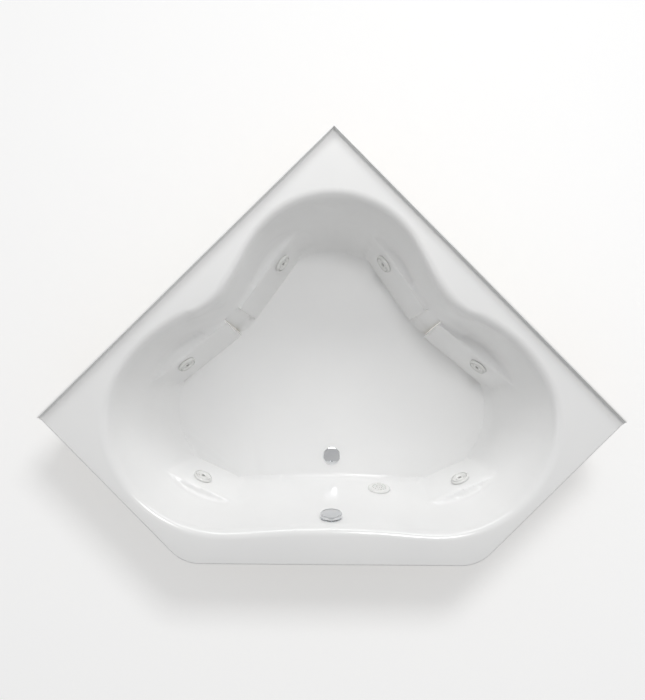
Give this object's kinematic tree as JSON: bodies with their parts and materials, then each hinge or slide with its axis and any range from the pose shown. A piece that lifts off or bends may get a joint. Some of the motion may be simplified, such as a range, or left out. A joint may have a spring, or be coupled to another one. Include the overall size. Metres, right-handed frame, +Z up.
{
  "type": "corner bathtub",
  "caption": "Corner bath with a moulded basin in a five-sided deck, turning jets on flat pads, pop-up waste with overflow knob, timber frame, pump and lines.",
  "frame": {"origin": "on the ground under the middle of the bath's outline", "axes": "+Z up, +Y towards the room corner, +X to the right of someone who stands at the front and looks at the corner"},
  "size_m": [2.1478, 1.6092, 0.539],
  "materials": {
    "acrylic": "glossy white moulded shell",
    "jet_white": "glossy white moulded trim",
    "chrome": "polished",
    "brass": "raw cast",
    "pipe_plastic": "white extruded pipe",
    "hose_plastic": "soft clear tubing",
    "fitting_plastic": "moulded fittings",
    "black_plastic": "moulded black",
    "rubber": "soft black",
    "timber": "sawn softwood",
    "motor_paint": "satin paint",
    "steel": "turned steel"
  },
  "bodies": {
    "bath": {"air_lines": "hose_plastic", "back_post": "timber", "base_board": "timber", "base_runner_left": "timber", "base_runner_right": "timber", "deck_batten_back_left": "timber", "deck_batten_back_right": "timber", "deck_batten_front": "timber", "deck_batten_left_return": "timber", "deck_batten_right_return": "timber", "discharge_pipe": "pipe_plastic", "drain_flange": "chrome", "drain_shoe": "brass", "front_left_post": "timber", "front_right_post": "timber", "jet_body_back_left": "fitting_plastic", "jet_body_back_right": "fitting_plastic", "jet_body_front_left": "fitting_plastic", "jet_body_front_right": "fitting_plastic", "jet_body_side_left": "fitting_plastic", "jet_body_side_right": "fitting_plastic", "jet_gaskets": "rubber", "jet_nuts": "fitting_plastic", "left_post": "timber", "motor_fan_cover": "black_plastic", "overflow_elbow": "brass", "overflow_plate": "chrome", "overflow_tube": "steel", "pump_base": "black_plastic", "pump_motor": "motor_paint", "pump_volute": "black_plastic", "right_post": "timber", "slip_nuts": "fitting_plastic", "suction_body": "fitting_plastic", "suction_cover": "jet_white", "suction_nut": "fitting_plastic", "suction_pipe": "pipe_plastic", "tailpiece": "steel", "terminal_box": "black_plastic", "tub_shell": "acrylic", "waste_gaskets": "rubber", "waste_tee": "brass", "waste_tube": "steel", "water_lines": "pipe_plastic"},
    "bezel_back_right": {"jet_bezel_back_right": "jet_white"},
    "nozzle_back_right": {"jet_nozzle_back_right": "jet_white"},
    "bezel_side_right": {"jet_bezel_side_right": "jet_white"},
    "nozzle_side_right": {"jet_nozzle_side_right": "jet_white"},
    "bezel_front_right": {"jet_bezel_front_right": "jet_white"},
    "nozzle_front_right": {"jet_nozzle_front_right": "jet_white"},
    "bezel_back_left": {"jet_bezel_back_left": "jet_white"},
    "nozzle_back_left": {"jet_nozzle_back_left": "jet_white"},
    "bezel_side_left": {"jet_bezel_side_left": "jet_white"},
    "nozzle_side_left": {"jet_nozzle_side_left": "jet_white"},
    "bezel_front_left": {"jet_bezel_front_left": "jet_white"},
    "nozzle_front_left": {"jet_nozzle_front_left": "jet_white"},
    "knob": {"overflow_knob": "chrome"},
    "stopper": {"drain_stopper": "chrome", "stopper_seal": "rubber"},
    "rotor": {"pump_rotor": "steel"}
  },
  "joints": [
    {"name": "bezel_back_right_turn", "type": "hinge", "parent": "bath", "child": "bezel_back_right", "pos_m": [0.20568, 0.3311, 0.218], "axis": [-0.7874, -0.5595, 0.2588], "range_deg": [0, 120]},
    {"name": "nozzle_back_right_tilt", "type": "hinge", "parent": "bezel_back_right", "child": "nozzle_back_right", "pos_m": [0.20568, 0.3311, 0.218], "axis": [0.5793, -0.8151, 0], "range_deg": [-12, 12]},
    {"name": "bezel_side_right_turn", "type": "hinge", "parent": "bath", "child": "bezel_side_right", "pos_m": [0.58344, -0.07478, 0.218], "axis": [-0.6049, -0.747, 0.2756], "range_deg": [0, 120]},
    {"name": "nozzle_side_right_tilt", "type": "hinge", "parent": "bezel_side_right", "child": "nozzle_side_right", "pos_m": [0.58344, -0.07478, 0.218], "axis": [0.7771, -0.6293, 0], "range_deg": [-12, 12]},
    {"name": "bezel_front_right_turn", "type": "hinge", "parent": "bath", "child": "bezel_front_right", "pos_m": [0.51475, -0.52899, 0.218], "axis": [-0.3981, 0.8695, 0.2924], "range_deg": [0, 120]},
    {"name": "nozzle_front_right_tilt", "type": "hinge", "parent": "bezel_front_right", "child": "nozzle_front_right", "pos_m": [0.51475, -0.52899, 0.218], "axis": [-0.9092, -0.4163, 0], "range_deg": [-12, 12]},
    {"name": "bezel_back_left_turn", "type": "hinge", "parent": "bath", "child": "bezel_back_left", "pos_m": [-0.20568, 0.3311, 0.218], "axis": [0.7874, -0.5595, 0.2588], "range_deg": [0, 120]},
    {"name": "nozzle_back_left_tilt", "type": "hinge", "parent": "bezel_back_left", "child": "nozzle_back_left", "pos_m": [-0.20568, 0.3311, 0.218], "axis": [0.5793, 0.8151, 0], "range_deg": [-12, 12]},
    {"name": "bezel_side_left_turn", "type": "hinge", "parent": "bath", "child": "bezel_side_left", "pos_m": [-0.58344, -0.07478, 0.218], "axis": [0.6049, -0.747, 0.2756], "range_deg": [0, 120]},
    {"name": "nozzle_side_left_tilt", "type": "hinge", "parent": "bezel_side_left", "child": "nozzle_side_left", "pos_m": [-0.58344, -0.07478, 0.218], "axis": [0.7771, 0.6293, 0], "range_deg": [-12, 12]},
    {"name": "bezel_front_left_turn", "type": "hinge", "parent": "bath", "child": "bezel_front_left", "pos_m": [-0.51475, -0.52899, 0.218], "axis": [0.3981, 0.8695, 0.2924], "range_deg": [0, 120]},
    {"name": "nozzle_front_left_tilt", "type": "hinge", "parent": "bezel_front_left", "child": "nozzle_front_left", "pos_m": [-0.51475, -0.52899, 0.218], "axis": [-0.9092, 0.4163, 0], "range_deg": [-12, 12]},
    {"name": "knob_turn", "type": "hinge", "parent": "bath", "child": "knob", "pos_m": [0, -0.6448, 0.43012], "axis": [0, 0.9647, 0.2635], "range_deg": [0, 100]},
    {"name": "stopper_lift", "type": "slide", "parent": "bath", "child": "stopper", "axis": [0, 0, 1], "range_m": [0, 0.0101]},
    {"name": "rotor_spin", "type": "hinge", "parent": "bath", "child": "rotor", "pos_m": [0.67002, -0.53306, 0.092], "axis": [0.7071, 0.7071, 0], "continuous": true}
  ],
  "couplings": [
    {"joint": "stopper_lift", "follows": "knob_turn", "m_per_rad": 0.0057296}
  ]
}
